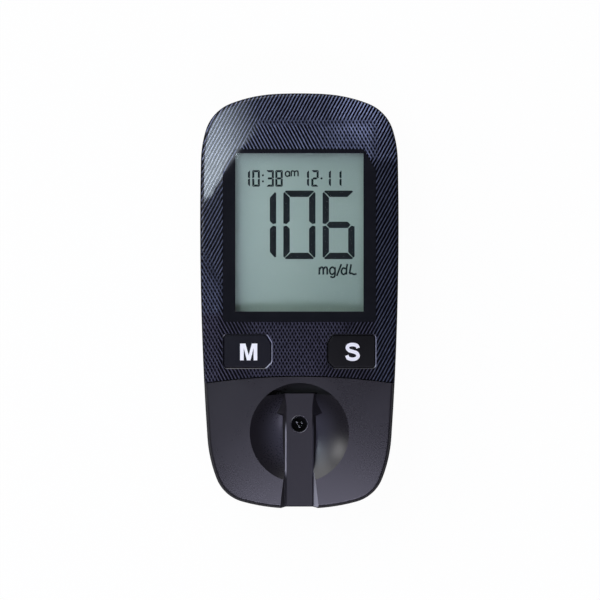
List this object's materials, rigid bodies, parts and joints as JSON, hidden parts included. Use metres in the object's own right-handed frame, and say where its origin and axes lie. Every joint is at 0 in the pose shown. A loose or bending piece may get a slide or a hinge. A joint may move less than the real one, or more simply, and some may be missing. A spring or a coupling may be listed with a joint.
{
  "type": "blood glucose meter",
  "caption": "Handheld photometric blood glucose meter with a segment display, two keys and a tilting cover with a test strip guide.",
  "frame": {"origin": "centre of the flat back, below the middle of the outline", "axes": "+X to the right across the meter, +Y towards the display end, +Z out of the display"},
  "size_m": [0.0468, 0.0978, 0.0191],
  "materials": {
    "rear_shell": "fine-grained moulded ABS, near black",
    "front_shell": "glossy navy-black, printed with fine hatched lines",
    "clear_lens": "clear acrylic, polished",
    "black_print": "black printed border behind the lens",
    "foam": "black foam",
    "clear_film": "polarising film",
    "lcd_glass": "display glass",
    "reflector": "grey-green reflective film",
    "holder_plastic": "white moulded frame",
    "zebra_rubber": "striped elastomer",
    "board": "green solder mask",
    "chip_black": "moulded black",
    "chip_clear": "clear moulded chip",
    "plated_steel": "nickel-plated steel",
    "optics_black": "matt black",
    "key_plastic": "satin black keys with white legends",
    "cover_plastic": "matt charcoal, fine-grained",
    "guide_plastic": "satin charcoal",
    "screw_steel": "blackened steel",
    "label_film": "blank silver-grey polyester film"
  },
  "bodies": {
    "case": {"rear_case": "rear_shell", "front_case": "front_shell", "display_lens": "clear_lens", "display_border": "black_print", "display_gasket": "foam", "lcd_front_film": "clear_film", "lcd_panel": "lcd_glass", "lcd_rear_film": "reflector", "lcd_holder": "holder_plastic", "zebra_strip_upper": "zebra_rubber", "zebra_strip_lower": "zebra_rubber", "circuit_board": "board", "board_chips": "chip_black", "buzzer": "chip_black", "usb_socket": "plated_steel", "usb_blade": "chip_black", "optics_block": "optics_black", "measuring_window": "clear_lens", "light_seal": "foam", "light_emitter": "chip_clear", "light_sensor": "chip_clear", "key_switches": "chip_black", "switch_dome_m": "plated_steel", "switch_dome_s": "plated_steel", "coin_cell": "plated_steel", "negative_contact": "plated_steel", "positive_contact": "plated_steel", "case_screws": "screw_steel", "rear_label": "label_film"},
    "key_m": {"key_m": "key_plastic"},
    "key_s": {"key_s": "key_plastic"},
    "battery_door": {"battery_door": "rear_shell"},
    "window_cover": {"window_cover": "cover_plastic", "strip_guide": "guide_plastic"}
  },
  "joints": [
    {"name": "key_m_press", "type": "slide", "parent": "case", "child": "key_m", "axis": [0, 0, -1], "range_m": [0, 0.0005], "stiffness_N_per_m": 2000, "deforming": ["switch_dome_m"]},
    {"name": "key_s_press", "type": "slide", "parent": "case", "child": "key_s", "axis": [0, 0, -1], "range_m": [0, 0.0005], "stiffness_N_per_m": 2000, "deforming": ["switch_dome_s"]},
    {"name": "battery_door_hinge", "type": "hinge", "parent": "case", "child": "battery_door", "pos_m": [0, 0.0059, 0], "axis": [-1, 0, 0], "range_deg": [0, 70]},
    {"name": "window_cover_tilt", "type": "hinge", "parent": "case", "child": "window_cover", "pos_m": [0, -0.0176, 0.01804], "axis": [-1, 0, 0], "range_deg": [0, 32]}
  ]
}
